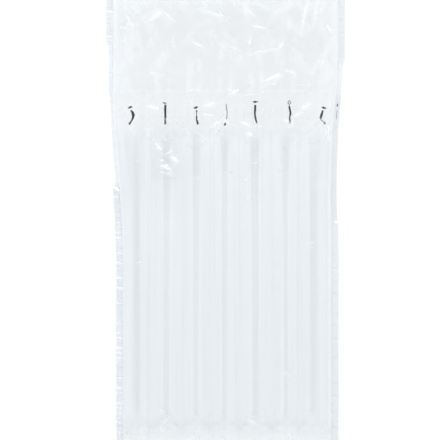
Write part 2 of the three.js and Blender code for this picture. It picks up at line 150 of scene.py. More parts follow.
# Front air columns
# Two clear films of the front panel, welded to each other in seven upright columns that air has swelled,
# with the flat filling channel above them. The columns narrow towards the channel in a creased neck.
# The bag's lengths are in millimetres, and its heights count up from the bottom fold.
MM = 0.001
COLUMN_COUNT = 7
COLUMN_PITCH = 30.0
SEAM_WIDTH = 1.4
SEAM_LINE = 0.4
FILL_ANGLE = 0.67
COLUMN_LENGTH = 284.0
FOOT_SWELL = 18.0
NECK_SWELL = 135.0
BOTTOM_BAND = 16.0
VALVE_BAND = 24.0
FLAP_LENGTH = 111.0
CHANNEL_HEIGHT = 1.7
BAND_BLEND = 9.0
FOLD_HEIGHT = 8.0
FOLD_RISE = 34.0
POCKET_GAP = 6.0
MARGIN = 3.0
OUTER_DROP = 0.28
CAD_FILM = 0.6
FILM_GAP = 0.3
NECK_SPREAD = (-80.0, 60.0)
FLAP_STRETCH = 0.98
NECK_LEAN = 3.4
GATHER_HEIGHT = 1.1
GATHER_FADE = 30.0
FLUTTER_HEIGHT = 0.9
FLUTTER_ACROSS = 74.0
FLUTTER_ALONG = 96.0
FLAT_ANGLE = 0.01
CREST_FACETS = 5
VALVE_LINE = BOTTOM_BAND + COLUMN_LENGTH
BAND_TOP = VALVE_LINE + VALVE_BAND
LENGTH = BAND_TOP + FLAP_LENGTH
BODY_CHORD = (COLUMN_PITCH - SEAM_WIDTH) * math.sin(FILL_ANGLE) / FILL_ANGLE + SEAM_WIDTH
FLAP_CHORD = COLUMN_PITCH * FLAP_STRETCH
# How far each seam, and the side line at either end, lies off its even place, in the body and at the neck.
SEAM_SHIFTS = (2.4, -0.1, -1.8, -0.7, -2.3, -3.0, 0.0, -2.6, -3.3, -2.6)
NECK_SHIFTS = (0.5, 1.5, 3.0, 2.5, 2.0, 0.0, 1.0, 0.5, -1.5, -1.0)
SHIFT_FADE = 45.0
ARC_POINTS = 22
ROW_STEP = 1.0
BODY_ROW_STEP = 2.0


def clamp01(t):
    return np.clip(t, 0.0, 1.0)


def ease(v, start, end):
    t = clamp01((v - start) / (end - start))
    return t * t * (3 - 2 * t)


def swell(v):
    foot = clamp01((v - BOTTOM_BAND) / FOOT_SWELL)
    neck = clamp01((v - VALVE_LINE + NECK_SWELL) / NECK_SWELL)
    return np.sqrt(1 - (1 - foot) ** 2) * np.sqrt(1 - neck**2)


def chord(v):
    return BODY_CHORD + (FLAP_CHORD - BODY_CHORD) * ease(v - VALVE_LINE, *NECK_SPREAD)


def arc_angle(v):
    return np.maximum(FILL_ANGLE * swell(v), FLAT_ANGLE)


def arc_radius(v):
    return (chord(v) - SEAM_WIDTH) / 2 / np.sin(arc_angle(v))


def crest(v):
    angle = arc_angle(v)
    return arc_radius(v) * (np.cos(angle / CREST_FACETS) - np.cos(angle))


def channel(v):
    below = VALVE_LINE - BAND_BLEND
    return ease(v, below - BAND_BLEND, below) * (1 - ease(v, BAND_TOP, BAND_TOP + BAND_BLEND))


def front_half(v):
    return CAD_FILM / 2 + (CHANNEL_HEIGHT + CAD_FILM) / 2 * channel(v)


BACK_HALF = CAD_FILM / 2
POCKET_CEILING = 2 * float(crest(BOTTOM_BAND + FOOT_SWELL)) + POCKET_GAP


def parted(v):
    return 1 - (1 - clamp01(v / FOLD_RISE)) ** 2


def front_level(v):
    level = POCKET_CEILING + np.maximum(crest(v), front_half(v))
    start = FOLD_HEIGHT + CAD_FILM / 2
    return start + (level - start) * parted(v)


def back_level(v):
    level = np.maximum(crest(v), BACK_HALF)
    start = FOLD_HEIGHT - CAD_FILM / 2
    return start + (level - start) * parted(v)


def outer_seam(v):
    return COLUMN_COUNT / 2 * chord(v)


def side_line(v):
    return outer_seam(v) + MARGIN


def side_drop(x, v):
    out = np.abs(x)
    seam = outer_seam(v)
    in_column = clamp01(1 - (seam - out) / chord(v))
    outer_column = OUTER_DROP * in_column**2
    margin = OUTER_DROP + (1 - OUTER_DROP) * clamp01((out - seam) / MARGIN)
    return np.where(out <= seam - chord(v), 0.0, np.where(out <= seam, outer_column, margin))


def gather(x, v):
    low = 1 - ease(v, BOTTOM_BAND, FOLD_RISE)
    high = ease(v, BAND_TOP, BAND_TOP + BAND_BLEND) * np.exp((BAND_TOP - v) / GATHER_FADE)
    strength = np.where(v < FOLD_RISE, low, high)
    return GATHER_HEIGHT * strength * np.cos(2 * np.pi * x / chord(v) + np.pi * (COLUMN_COUNT - 1))


def flutter(x, v):
    strength = FLUTTER_HEIGHT * ease(v, BAND_TOP, BAND_TOP + FLAP_LENGTH / 2)
    slanting = np.sin(2 * np.pi * (x / FLUTTER_ACROSS + v / FLUTTER_ALONG))
    crossing = np.sin(2 * np.pi * (x / FLUTTER_ALONG - v / FLUTTER_ACROSS))
    return strength * (1 + (slanting + crossing) / 2)


def panel_gap(v):
    return (front_level(v) - back_level(v) - front_half(v) - BACK_HALF) / 2


def front_middle(x, v):
    drop = side_drop(x, v)
    lift = np.where(v < FOLD_RISE, gather(x, v), np.maximum(gather(x, v), 0) + flutter(x, v))
    return front_level(v) - drop * panel_gap(v) + (1 - drop) * lift


def back_middle(x, v):
    drop = side_drop(x, v)
    lift = np.where(v < FOLD_RISE, gather(x, v), flutter(-x, v))
    return back_level(v) + drop * panel_gap(v) + (1 - drop) * lift


def lie(x, v):
    """Where a point of the even bag lies across the real one, with its leaning neck and its uneven seams."""
    out_of_neck = ease(v - VALVE_LINE, 0.0, NECK_SPREAD[1])
    neck = ease(v, VALVE_LINE - NECK_SWELL, VALVE_LINE)
    lean = NECK_LEAN * ((1 - out_of_neck) / 2 - neck * (1 - out_of_neck))
    margin = MARGIN / BODY_CHORD
    marks = [-margin, *range(COLUMN_COUNT + 1), COLUMN_COUNT + margin]
    place = x / chord(v) + COLUMN_COUNT / 2
    in_body = np.interp(place, marks, SEAM_SHIFTS)
    at_neck = np.interp(place, marks, NECK_SHIFTS)
    uneven = in_body * (1 - neck) + at_neck * neck
    return x + lean + uneven * (1 - ease(v, VALVE_LINE, VALVE_LINE + SHIFT_FADE))


def across(v):
    """Places across the bag and the rise of the film's arcs there, for a column of heights v."""
    angle = arc_angle(v)
    radius = (chord(v) - SEAM_LINE) / 2 / np.sin(angle)
    turns = np.linspace(-1, 1, ARC_POINTS)
    xs, rises = [], []
    for column in range(COLUMN_COUNT):
        middle = (column - (COLUMN_COUNT - 1) / 2) * chord(v)
        xs.append(middle + radius * np.sin(angle * turns))
        rises.append(radius * (np.cos(angle * turns) - np.cos(angle)))
    side = side_line(v)
    edge = (outer_seam(v) + side) / 2
    xs = np.hstack([-side, -edge, *xs, edge, side])
    nothing = np.zeros_like(side)
    return xs, np.hstack([nothing, nothing, *rises, nothing, nothing])


def rows(start, end, step):
    return np.linspace(start, end, max(int(round((end - start) / step)), 1), endpoint=False)


def mesh_object(name, points, faces, limp, cling, fold_milk_and_highlight):
    """A film, with how limp it is, how much it clings to the next one, and where creases make it milky:
    partly real whitening, partly painted highlight.
    """
    mesh = bpy.data.meshes.new(name)
    mesh.from_pydata((points * MM).tolist(), [], faces.tolist())
    mesh.polygons.foreach_set("use_smooth", [True] * len(mesh.polygons))
    for label, values in (("limp", limp), ("cling", cling), ("fold_milk_and_highlight", fold_milk_and_highlight)):
        attribute = mesh.attributes.new(label, "FLOAT", "POINT")
        attribute.data.foreach_set("value", np.asarray(values, np.float32).ravel())
    made = bpy.data.objects.new(name, mesh)
    bpy.context.scene.collection.objects.link(made)
    return made


def ring_faces(row_count, ring_length, closed=True):
    """Quads between rings of points that follow each other, facing outwards where rings run clockwise."""
    near = np.arange(ring_length if closed else ring_length - 1)
    far = (near + 1) % ring_length
    first = np.arange(row_count - 1)[:, None] * ring_length
    near, far = first + near, first + far
    return np.stack([near, far, far + ring_length, near + ring_length], axis=-1).reshape(-1, 4)


def cap_faces(first, ring_length, flip):
    """Quads across the end of a flat ring, from its outer film to its inner film."""
    near = first + np.arange(ring_length // 2 - 1)
    far = 2 * first + ring_length - 1 - near
    quads = np.stack([near, near + 1, far - 1, far], axis=-1)
    return quads[:, ::-1] if flip else quads


def air_columns(name, outer, inner, limp, cling, fold_milk_and_highlight):
    """A closed body from its outer and its inner film, each a grid of points in rows from left to right."""
    ring = np.concatenate([outer, inner[:, ::-1]], axis=1)
    limp, cling = (np.concatenate([values, values[:, ::-1]], axis=1) for values in (limp, cling))
    fold_milk_and_highlight = np.concatenate([fold_milk_and_highlight, np.zeros_like(fold_milk_and_highlight)], axis=1)
    count, length = ring.shape[:2]
    caps = [cap_faces(0, length, True), cap_faces((count - 1) * length, length, False)]
    faces = np.vstack([ring_faces(count, length), *caps])
    return mesh_object(name, ring.reshape(-1, 3), faces, limp, cling, fold_milk_and_highlight)


# A small fold is a ridge with flat sides, half as high as a side is wide. It narrows towards its ends, and
# its film is milky close to the ridge, the more so the wider the fold: partly the film's real whitening,
# partly a painted highlight where the ridge would catch the light.
FOLD_SLOPE = 0.555
FOLD_TAPER = 0.6
MILK_HIGHLIGHT_RIDGE = 1.15
MILK_HIGHLIGHT_REACH = 0.6
MILK_HIGHLIGHT_WIDTH = 1.8


def fold_lift(x, v, folds):
    """Height and milky white of the folds in a film, the white partly real whitening and partly painted
    highlight, each fold given by its two ends and the width of a side.
    """
    lift, milk_and_highlight = np.zeros_like(x), np.zeros_like(x)
    for x0, v0, x1, v1, width in folds:
        length_squared = (x1 - x0) ** 2 + (v1 - v0) ** 2
        t = clamp01(((x - x0) * (x1 - x0) + (v - v0) * (v1 - v0)) / length_squared)
        away = np.hypot(x - x0 - t * (x1 - x0), v - v0 - t * (v1 - v0))
        half = width * (1 - FOLD_TAPER * np.abs(2 * t - 1) ** 2)
        lift += FOLD_SLOPE * np.maximum(half - away, 0)
        milk_and_highlight = np.maximum(milk_and_highlight, clamp01(MILK_HIGHLIGHT_RIDGE - away / half / MILK_HIGHLIGHT_REACH) * half / MILK_HIGHLIGHT_WIDTH)
    return lift, milk_and_highlight


# Folds that lie across the columns, in the neck and in the bottom band.
FRONT_FOLDS = [
    (-84.5, 265.3, -78.5, 265.6, 1.3), (-84.0, 171.8, -78.5, 171.2, 1.3), (-29.5, 249.2, -24.0, 249.6, 1.2),
    (15.5, 248.6, 24.0, 250.2, 1.6), (19.0, 231.0, 24.5, 232.0, 1.2), (79.5, 250.6, 86.5, 250.0, 1.5),
    (77.0, 189.6, 83.0, 189.2, 1.2), (54.0, 70.0, 61.0, 70.6, 1.2), (56.0, 67.0, 60.0, 73.5, 1.1),
    (20.2, 25.3, 28.6, 20.4, 2.5), (-62.0, 36.0, -55.0, 31.0, 1.3), (-60.0, 29.0, -52.5, 24.0, 1.4),
    (-57.5, 21.0, -51.0, 26.0, 1.3), (-30.0, 9.0, -24.0, 5.0, 1.5), (-4.0, 8.0, 2.0, 3.0, 1.3),
    (52.0, 6.5, 63.0, 9.0, 1.6), (-73.0, 316.5, -62.0, 315.0, 2.5), (-19.5, 317.0, -9.0, 320.0, 2.4),
    (-2.0, 306.0, 3.0, 300.0, 2.0), (13.5, 303.0, 24.5, 297.5, 2.4), (5.0, 328.0, 14.0, 334.0, 2.4),
    (54.0, 305.5, 64.5, 299.0, 2.4), (70.0, 315.0, 81.0, 320.0, 2.4), (18.0, 292.0, 27.0, 288.0, 2.1),
    (-12.0, 298.0, -4.0, 303.5, 2.0), (88.0, 252.0, 90.5, 246.0, 1.1), (10.5, 326.5, 34.5, 329.0, 1.5),
    (-34.0, 330.5, -26.0, 336.0, 1.4), (64.0, 307.0, 71.0, 312.0, 2.2), (-22.0, 310.0, -10.0, 308.0, 1.7),
]

# Creases of soft film: the sharp ridges that it takes when it is crumpled, laid over a piece by its own
# looseness. The direction of the creases wanders, and the finest crinkles come in patches.
SWAY_SCALE = 30.0
SWAY = 0.02
RIDGE_BEND = 0.6
RIDGE_STEEPNESS = -4.0
PATCH_SCALE = 55.0
PATCH_EDGE = (0.44, 0.60)


def new_group(name, kind, sockets):
    """A node group with its sockets, each given as its name, its way, its type and its first value."""
    group = bpy.data.node_groups.new(name, kind)
    for label, way, socket_kind, value in sockets:
        socket = group.interface.new_socket(label, in_out=way, socket_type="NodeSocket" + socket_kind)
        if value is not None:
            socket.default_value = value
    return group, group.nodes.new("NodeGroupInput"), group.nodes.new("NodeGroupOutput")


def named_value(tree, name):
    attribute = add_node(tree, "GeometryNodeInputNamedAttribute", data_type="FLOAT", Name=name)
    return attribute.outputs["Attribute"]


def lift_off(tree, film, height, given, result):
    """Moves a film out along its normals, and ends its tree as one plain mesh in the given material."""
    outward = add_node(tree, "GeometryNodeInputNormal").outputs["Normal"]
    offset = add_node(tree, "ShaderNodeVectorMath", outward, operation="SCALE", Scale=height)
    moved = add_node(tree, "GeometryNodeSetPosition", film, Offset=offset.outputs["Vector"])
    realized = add_node(tree, "GeometryNodeRealizeInstances", moved.outputs["Geometry"])
    dressed = add_node(tree, "GeometryNodeSetMaterial", realized.outputs["Geometry"],
                       Material=given.outputs["Material"])
    tree.links.new(dressed.outputs["Geometry"], result.inputs[0])


creases, given, result = new_group("film_creases", "GeometryNodeTree", [
    ("Film", "INPUT", "Geometry", None),
    ("Crease Height", "INPUT", "Float", 0.0008),
    ("Crease Size", "INPUT", "Float", 0.020),
    ("Wrinkle Height", "INPUT", "Float", 0.0003),
    ("Wrinkle Size", "INPUT", "Float", 0.007),
    ("Seed", "INPUT", "Float", 0.0),
    ("Material", "INPUT", "Material", None),
    ("Film", "OUTPUT", "Geometry", None),
])
position = add_node(creases, "GeometryNodeInputPosition").outputs["Position"]
looseness = named_value(creases, "limp")
sway = add_node(creases, "ShaderNodeTexNoise", position, Scale=SWAY_SCALE)
bent = add_node(creases, "ShaderNodeVectorMath", sway.outputs["Color"], (SWAY, SWAY, SWAY), position,
                operation="MULTIPLY_ADD")
facets = add_node(creases, "ShaderNodeTexVoronoi", bent.outputs["Vector"], voronoi_dimensions="4D",
                  feature="DISTANCE_TO_EDGE", W=given.outputs["Seed"],
                  Scale=math_node(creases, "DIVIDE", 1.0, given.outputs["Crease Size"]))
ridges = add_node(creases, "ShaderNodeTexNoise", bent.outputs["Vector"], noise_dimensions="4D",
                  W=given.outputs["Seed"], Detail=1.0, Distortion=RIDGE_BEND,
                  Scale=math_node(creases, "DIVIDE", 1.0, given.outputs["Wrinkle Size"]))
facet_lift = math_node(creases, "MULTIPLY", facets.outputs["Distance"], given.outputs["Crease Height"])
folded = math_node(creases, "ABSOLUTE", math_node(creases, "SUBTRACT", ridges.outputs["Fac"], 0.5))
ridge_lift = math_node(creases, "MULTIPLY", math_node(creases, "MULTIPLY", folded, RIDGE_STEEPNESS),
                       given.outputs["Wrinkle Height"])
lift = math_node(creases, "MULTIPLY", math_node(creases, "ADD", facet_lift, ridge_lift), looseness)
patches = add_node(creases, "ShaderNodeTexNoise", position, noise_dimensions="4D", W=given.outputs["Seed"],
                   Scale=PATCH_SCALE, Detail=1.0)
patch = add_node(creases, "ShaderNodeMapRange", patches.outputs["Fac"], *PATCH_EDGE,
                 interpolation_type="SMOOTHSTEP")
marked = add_node(creases, "GeometryNodeStoreNamedAttribute", given.outputs["Film"], data_type="FLOAT",
                  domain="POINT", Name="crinkled",
                  Value=math_node(creases, "MULTIPLY", patch.outputs["Result"], looseness))
lift_off(creases, marked.outputs["Geometry"], lift, given, result)


def run_tree(piece, tree, **values):
    """Puts a tree on a piece with its inputs, and turns the result into the piece's own plain mesh."""
    modifier = piece.modifiers.new("shape", "NODES")
    modifier.node_group = tree
    for socket in tree.interface.items_tree:
        label = socket.name.replace(" ", "_")
        if socket.item_type == "SOCKET" and socket.in_out == "INPUT" and label in values:
            modifier[socket.identifier] = values[label]
    shape = piece.evaluated_get(bpy.context.evaluated_depsgraph_get())
    mesh = bpy.data.meshes.new_from_object(shape)
    piece.modifiers.remove(modifier)
    plain = piece.data
    piece.data = mesh
    bpy.data.meshes.remove(plain)
    mesh.name = piece.name


# Fine crinkles of thin film: short straight or slightly bowed creases, one to a cell, each with its own
# direction, length and width, as a height and as a mask of where the film is milky: partly its real
# whitening, partly a painted highlight along the crinkle. The pattern slides with depth, so that films that
# lie over each other crinkle differently.
DEPTH_SLIDE = (0.6, 0.9)
SHORTEST_CRINKLE = 0.3
CRINKLE_BOW = 0.3
CRINKLE_WIDTHS = (-0.7, 1.1)
CRINKLE_MILK_HIGHLIGHT = 0.7

crinkles, given, result = new_group("fine_crinkles", "ShaderNodeTree", [
    ("Spacing", "INPUT", "Float", 0.020),
    ("Length", "INPUT", "Float", 0.009),
    ("Width", "INPUT", "Float", 0.0010),
    ("Strength", "INPUT", "Float", 1.0),
    ("Height", "OUTPUT", "Float", None),
    ("Milk_Highlight", "OUTPUT", "Float", None),
])


def crinkle_math(operation, *values):
    return math_node(crinkles, operation, *values)


place = add_node(crinkles, "ShaderNodeTexCoord").outputs["Object"]
parts = add_node(crinkles, "ShaderNodeSeparateXYZ", place).outputs
slid_x, slid_y = (crinkle_math("MULTIPLY_ADD", parts["Z"], slide, parts[axis])
                  for axis, slide in zip("XY", DEPTH_SLIDE))
slid = add_node(crinkles, "ShaderNodeCombineXYZ", slid_x, slid_y).outputs["Vector"]
cells = add_node(crinkles, "ShaderNodeTexVoronoi", slid, voronoi_dimensions="2D",
                 Scale=crinkle_math("DIVIDE", 1.0, given.outputs["Spacing"]))
chance = add_node(crinkles, "ShaderNodeSeparateColor", cells.outputs["Color"])
from_middle = add_node(crinkles, "ShaderNodeVectorMath", slid, cells.outputs["Position"],
                       operation="SUBTRACT")
offset = add_node(crinkles, "ShaderNodeSeparateXYZ", from_middle.outputs["Vector"])
heading = crinkle_math("MULTIPLY", chance.outputs["Red"], 2 * math.pi)
cosine, sine = crinkle_math("COSINE", heading), crinkle_math("SINE", heading)
along = crinkle_math("ADD", crinkle_math("MULTIPLY", offset.outputs["X"], cosine),
                     crinkle_math("MULTIPLY", offset.outputs["Y"], sine))
aside = crinkle_math("SUBTRACT", crinkle_math("MULTIPLY", offset.outputs["Y"], cosine),
                     crinkle_math("MULTIPLY", offset.outputs["X"], sine))
reach_share = crinkle_math("MULTIPLY_ADD", chance.outputs["Green"], 1 - SHORTEST_CRINKLE, SHORTEST_CRINKLE)
reach = crinkle_math("MULTIPLY", given.outputs["Length"], reach_share)
share_along = crinkle_math("DIVIDE", along, reach)
squared = crinkle_math("MULTIPLY", share_along, share_along)
bend = crinkle_math("MULTIPLY", given.outputs["Width"], crinkle_math("SUBTRACT", sine, CRINKLE_BOW))
bow = crinkle_math("MULTIPLY", squared, bend)
narrowest, widest = CRINKLE_WIDTHS
width_share = crinkle_math("MULTIPLY_ADD", chance.outputs["Blue"], widest - narrowest, narrowest)
taper = crinkle_math("MAXIMUM", crinkle_math("SUBTRACT", 1.0, squared), 0.0)
half_width = crinkle_math("MULTIPLY", taper, crinkle_math("MULTIPLY", given.outputs["Width"], width_share))
away = crinkle_math("ABSOLUTE", crinkle_math("ADD", aside, bow))
ridge = crinkle_math("MAXIMUM", crinkle_math("SUBTRACT", half_width, away), 0.0)
crinkle_milk_and_highlight = crinkle_math("DIVIDE", ridge, crinkle_math("MULTIPLY", given.outputs["Width"], CRINKLE_MILK_HIGHLIGHT))
crinkle_milk_and_highlight = crinkle_math("MINIMUM", crinkle_milk_and_highlight, 1.0)
for height, name in ((ridge, "Height"), (crinkle_milk_and_highlight, "Milk_Highlight")):
    crinkles.links.new(crinkle_math("MULTIPLY", height, given.outputs["Strength"]), result.inputs[name])

# Pull lines: the fine straight lines that blown film has along its length.
LINES_PER_METRE = 420.0
LINE_STRETCH = 0.010
LINE_EDGE = (0.50, 0.66)

pulled, _, result = new_group("pull_lines", "ShaderNodeTree", [("Lines", "OUTPUT", "Float", None)])
place = add_node(pulled, "ShaderNodeTexCoord").outputs["Object"]
drawn_out = add_node(pulled, "ShaderNodeVectorMath", place, (1.0, LINE_STRETCH, 0.0), operation="MULTIPLY")
stripes = add_node(pulled, "ShaderNodeTexNoise", drawn_out.outputs["Vector"], noise_dimensions="2D",
                   Scale=LINES_PER_METRE, Detail=2.0)
line = add_node(pulled, "ShaderNodeMapRange", stripes.outputs["Fac"], *LINE_EDGE)
pulled.links.new(line.outputs["Result"], result.inputs["Lines"])

# Ribs of the welding jaw: thin milky lines across a weld, each as strong as the jaw pressed there, over
# faint blocks.
RIB_SLANT = 0.12
RIB_SHARPNESS = -900.0
RIB_CONTRAST = 2.0
BLOCK_STRENGTH = 0.15

ribs, given, result = new_group("jaw_ribs", "ShaderNodeTree", [
    ("Pitch", "INPUT", "Float", 0.005),
    ("Ribs", "OUTPUT", "Float", None),
])
place = add_node(ribs, "ShaderNodeTexCoord").outputs["Object"]
along = add_node(ribs, "ShaderNodeSeparateXYZ", place).outputs
bowed = math_node(ribs, "MULTIPLY_ADD", along["X"], RIB_SLANT, along["Y"])
turn = math_node(ribs, "DIVIDE", bowed, given.outputs["Pitch"])
pressure = add_node(ribs, "ShaderNodeTexWhiteNoise", noise_dimensions="1D", W=math_node(ribs, "FLOOR", turn))
off_middle = math_node(ribs, "ABSOLUTE", math_node(ribs, "SUBTRACT", math_node(ribs, "FRACT", turn), 0.5))
off_line = math_node(ribs, "MULTIPLY", off_middle, given.outputs["Pitch"])
thin = math_node(ribs, "MAXIMUM", math_node(ribs, "MULTIPLY_ADD", off_line, RIB_SHARPNESS, 1.0), 0.0)
strong = math_node(ribs, "POWER", pressure.outputs["Value"], RIB_CONTRAST)
block = math_node(ribs, "MULTIPLY", pressure.outputs["Value"], BLOCK_STRENGTH)
ribs.links.new(math_node(ribs, "MULTIPLY_ADD", thin, strong, block), result.inputs["Ribs"])

# The film itself. It mirrors more at a grazing angle, and what is milky in it is almost white. In its
# creases and crinkles that white is partly real whitening and partly a painted highlight; in the weld ribs
# it is the jaw's pattern.
MILK_AND_HIGHLIGHT_WHITE = (0.985, 0.99, 0.995)
GRAZING_SHARPNESS = 4.0


def value_of(tree, name):
    return add_node(tree, "ShaderNodeAttribute", attribute_name=name).outputs["Fac"]


def mixed_shader(tree, *inputs):
    return add_node(tree, "ShaderNodeMixShader", *inputs).outputs["Shader"]


def film_material(name, tint, reflectance, haze, milk_and_highlight_strength, crinkle_size, crinkle_slope, roughness,
                  pull=0.0, rib_pitch=None):
    """Clear film: it lets light straight through with a faint tint, mirrors a little of it, and is milky in
    its creases, partly real whitening and partly a painted highlight. The finest creases and lines are left
    out of the light that it passes on."""
    material = bpy.data.materials.new(name)
    material.use_nodes = True
    tree = material.node_tree
    tree.nodes.remove(tree.nodes["Principled BSDF"])
    cling = value_of(tree, "cling")
    fold_milk_and_highlight = value_of(tree, "fold_milk_and_highlight")
    apart = math_node(tree, "SUBTRACT", 1.0, cling)

    def layers(shade, milk_and_highlight_mask, **normal):
        facing = add_node(tree, "ShaderNodeLayerWeight", Blend=0.5, **normal)
        gloss = add_node(tree, "ShaderNodeBsdfGlossy", Color=(1, 1, 1, 1), Roughness=roughness, **normal)
        grazing = math_node(tree, "POWER", facing.outputs["Facing"], GRAZING_SHARPNESS)
        mirrored = math_node(tree, "MULTIPLY_ADD", grazing, 1 - reflectance, reflectance)
        tinted = add_node(tree, "ShaderNodeMix", data_type="RGBA", Factor=cling, A=shade, B=(1, 1, 1, 1))
        clear = add_node(tree, "ShaderNodeBsdfTransparent", Color=tinted.outputs["Result"])
        milk_and_highlight_bsdf = add_node(tree, "ShaderNodeBsdfDiffuse", Color=(*MILK_AND_HIGHLIGHT_WHITE, 1))
        milk_and_highlight = math_node(tree, "MULTIPLY_ADD", milk_and_highlight_mask, milk_and_highlight_strength, haze)
        body = mixed_shader(tree, milk_and_highlight, clear.outputs["BSDF"], milk_and_highlight_bsdf.outputs["BSDF"])
        return mixed_shader(tree, math_node(tree, "MULTIPLY", mirrored, apart), body, gloss.outputs["BSDF"])

    spacing, length, width = crinkle_size
    streaks = add_node(tree, "ShaderNodeGroup", node_tree=crinkles, Spacing=spacing, Length=length,
                       Width=width, Strength=value_of(tree, "crinkled"))
    bump = add_node(tree, "ShaderNodeBump", Distance=crinkle_slope, Height=streaks.outputs["Height"])
    milk_and_highlight_mask = math_node(tree, "MAXIMUM", streaks.outputs["Milk_Highlight"], fold_milk_and_highlight)
    if rib_pitch:
        jaw = add_node(tree, "ShaderNodeGroup", node_tree=ribs, Pitch=rib_pitch)
        ribs_there = math_node(tree, "MULTIPLY", jaw.outputs["Ribs"], value_of(tree, "ribbed"))
        milk_and_highlight_mask = math_node(tree, "MAXIMUM", milk_and_highlight_mask, ribs_there)
    shade = (*tint, 1)
    if pull:
        lines = add_node(tree, "ShaderNodeGroup", node_tree=pulled)
        darker = (*(part * (1 - pull) for part in tint), 1)
        drawn = add_node(tree, "ShaderNodeMix", data_type="RGBA", Factor=lines.outputs["Lines"], A=shade,
                         B=darker)
        shade = drawn.outputs["Result"]
    seen = add_node(tree, "ShaderNodeLightPath").outputs["Is Camera Ray"]
    plain, full = layers((*tint, 1), fold_milk_and_highlight), layers(shade, milk_and_highlight_mask, Normal=bump.outputs["Normal"])
    tree.links.new(mixed_shader(tree, seen, plain, full), tree.nodes["Material Output"].inputs["Surface"])
    return material


CLEAR_TINT = (0.9835, 0.9902, 0.9950)
clear_film = film_material(
    "clear_film", tint=CLEAR_TINT, reflectance=0.06, haze=0.004, milk_and_highlight_strength=0.40,
    crinkle_size=(0.008, 0.0050, 0.0011), crinkle_slope=0.12, roughness=0.06, pull=0.006,
)

# The rows of points lie closer together in the creased bottom band and neck than along the taut columns.
BAND_ROWS_TOP = 40.0
NECK_ROWS_FOOT = VALVE_LINE - 45
FLAP_FOOT = BAND_TOP + BAND_BLEND
heights = np.hstack([
    rows(0, BAND_ROWS_TOP, ROW_STEP), rows(BAND_ROWS_TOP, NECK_ROWS_FOOT, BODY_ROW_STEP),
    rows(NECK_ROWS_FOOT, FLAP_FOOT, ROW_STEP), FLAP_FOOT,
])[:, None]
places, rises = across(heights)
tall = np.broadcast_to(heights, places.shape)
front_thick = np.maximum(rises, front_half(tall) - CAD_FILM / 2 + FILM_GAP / 2)
in_seam = rises <= 1e-6

# Air keeps a column taut. Its film is limp in the neck, and half as limp in the channel and at its foot.
TAUT = 0.06
CHANNEL_LIMP = 0.5
FOOT_LIMP = 0.45
neck_limp = ease(tall, VALVE_LINE - 30, VALVE_LINE - 6)
neck_limp *= 1 - (1 - CHANNEL_LIMP) * ease(tall, VALVE_LINE - 2, VALVE_LINE + 14)
foot_limp = FOOT_LIMP * (1 - ease(tall, BOTTOM_BAND, BOTTOM_BAND + 2 * FOOT_SWELL))
column_limp = np.where(in_seam, 0.0, TAUT + (1 - TAUT) * np.maximum(neck_limp, foot_limp))

# Films that lie on each other cling, and then mirror and tint less: in the channel, and at the flap's foot.
CHANNEL_CLING = 0.42
BAND_TOP_CLING = 0.17
FLAP_FOOT_CLING = 0.5
column_cling = CHANNEL_CLING * ease(tall, VALVE_LINE - 14, VALVE_LINE + 4)
column_cling -= (CHANNEL_CLING - BAND_TOP_CLING) * ease(tall, BAND_TOP - 1, BAND_TOP + 6)
column_cling[-1] = FLAP_FOOT_CLING
outward = front_middle(places, tall)
lying_x = lie(places, tall)


def film_grid(x, v, z):
    return np.stack([x, v - LENGTH / 2, z], axis=-1)


# The folds lift the film. Their milky marks are partly real whitening and partly painted highlight.
front_folds, front_milk_and_highlight = fold_lift(lying_x, tall, FRONT_FOLDS)
front_top = film_grid(lying_x, tall, outward + front_thick + front_folds)
front_inside = film_grid(lying_x, tall, outward - front_thick)
front_columns = air_columns("front_air_columns", front_top, front_inside, column_limp, column_cling,
                            front_milk_and_highlight)
run_tree(front_columns, creases, Crease_Height=0.0016, Crease_Size=0.012, Wrinkle_Height=0.0001,
         Wrinkle_Size=0.006, Seed=3.1, Material=clear_film)
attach(front_columns, "root")
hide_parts("column_bag")

# Back air columns
# The same pair of films carries on round the bottom fold as the back panel. It has no channel of its own,
# and its columns rest on the table, pressed flat along a strip where the film mirrors less.
TABLE_CLING = 0.48
PRESSED_FLAT = (0.03, 0.22)
WHERE_IT_RESTS = (60.0, 150.0)
BACK_LIMP = 0.4

inward = back_middle(places, tall)
back_thick = np.maximum(rises, FILM_GAP / 2)
underside = inward - back_thick
rests_from, rests_to = WHERE_IT_RESTS
off_table = underside - underside[(tall > rests_from) & (tall < rests_to)].min()
resting = TABLE_CLING * (1 - ease(off_table, *PRESSED_FLAT))
back_inside = film_grid(lying_x, tall, inward + back_thick)
back_columns = air_columns("back_air_columns", back_inside, film_grid(lying_x, tall, underside),
                           BACK_LIMP * column_limp, np.maximum(column_cling, resting), np.zeros_like(tall))
run_tree(back_columns, creases, Crease_Height=0.0012, Crease_Size=0.014, Wrinkle_Height=0.0001,
         Wrinkle_Size=0.006, Seed=8.7, Material=clear_film)
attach(back_columns, "root")
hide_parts("column_bag")

